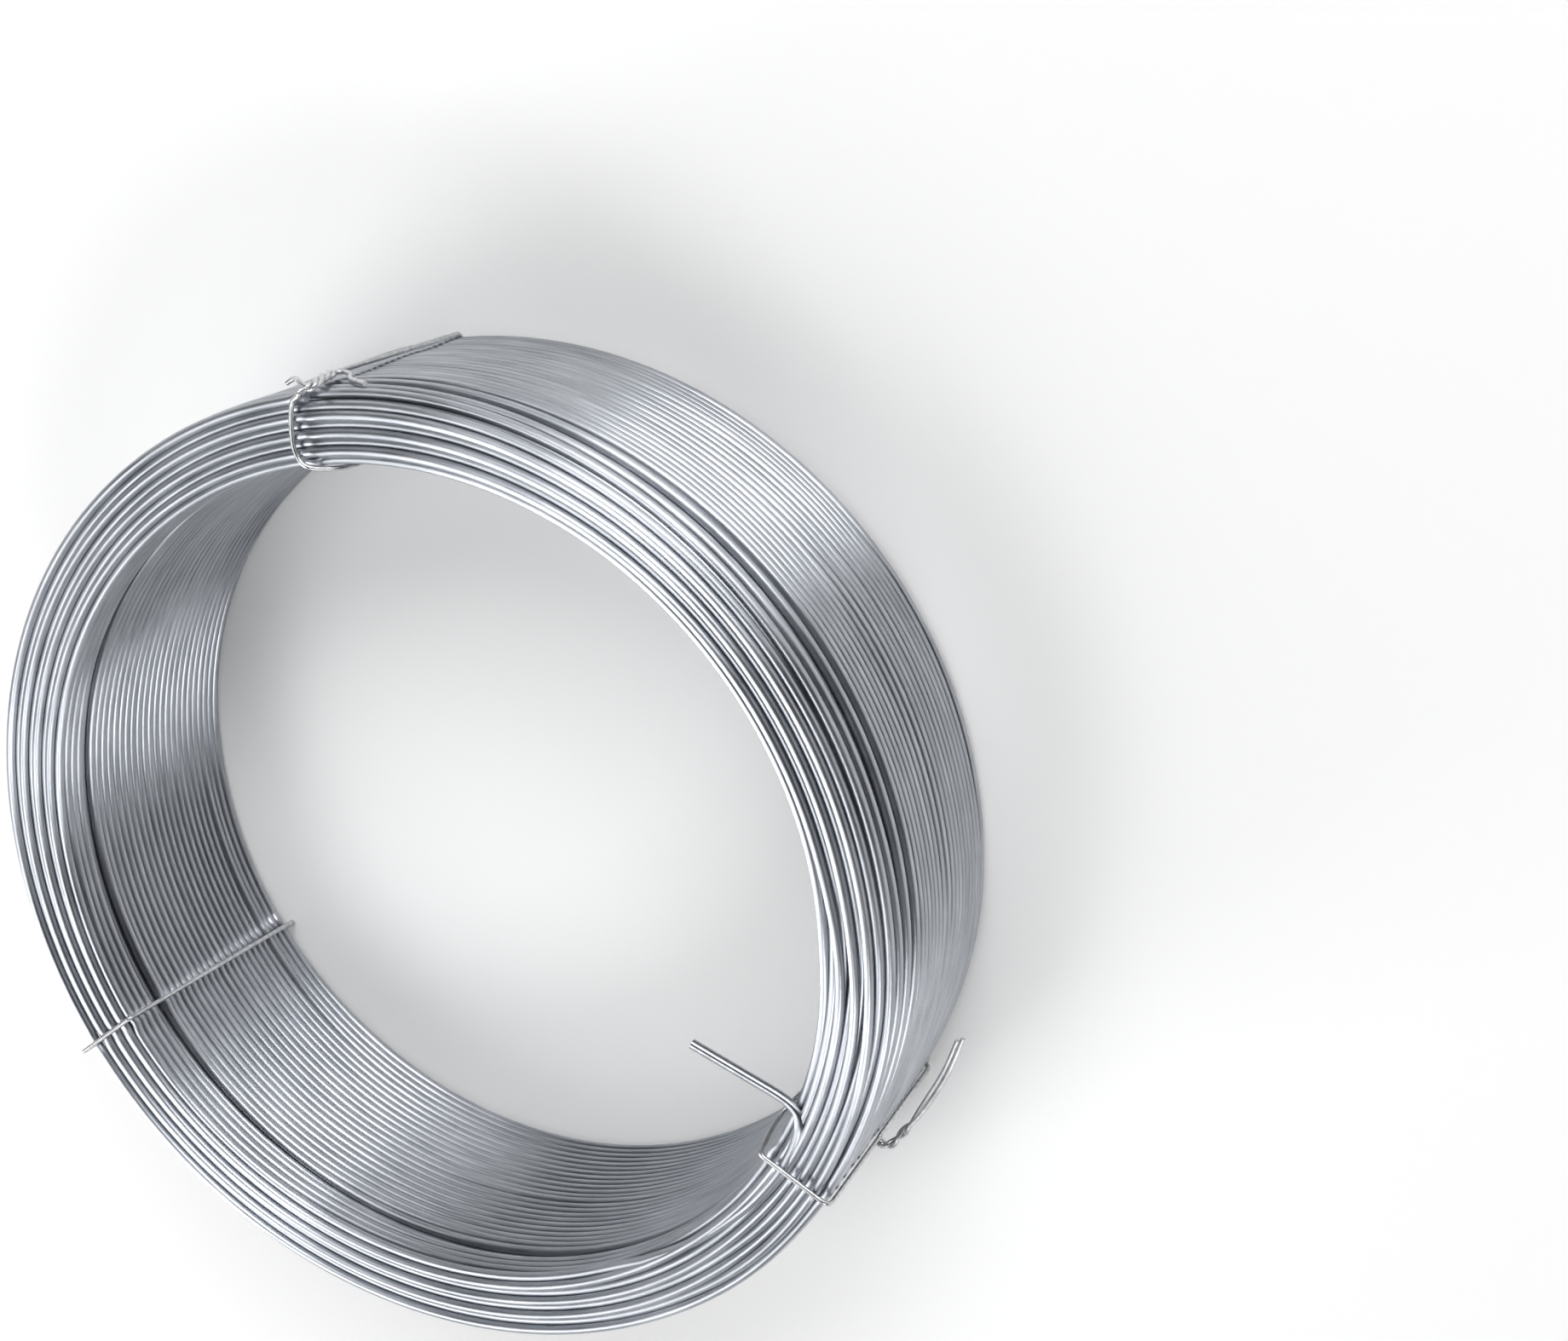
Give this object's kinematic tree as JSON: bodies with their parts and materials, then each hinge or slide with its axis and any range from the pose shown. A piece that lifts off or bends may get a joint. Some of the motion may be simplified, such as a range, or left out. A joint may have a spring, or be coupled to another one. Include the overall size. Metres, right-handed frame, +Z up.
{
  "type": "coil of galvanised wire",
  "caption": "Flat ring-shaped coil of plain drawn steel wire, wound in layers, bound by thin twisted tie wires, with a free inner end.",
  "frame": {"origin": "on the axis of the winding, in the floor plane under the lower runs of the tie wires", "axes": "+Z up along the axis of the winding, +X through the free inner end of the wire"},
  "size_m": [0.2656, 0.2552, 0.074],
  "materials": {
    "galvanised_wire": "bright drawn wire with a grey zinc coating",
    "tie_wire": "soft bright zinc-coated binding wire"
  },
  "bodies": {
    "root": {"wire_coil": "galvanised_wire", "tie_wire_1": "tie_wire", "tie_wire_2": "tie_wire", "tie_wire_3": "tie_wire"}
  },
  "joints": []
}
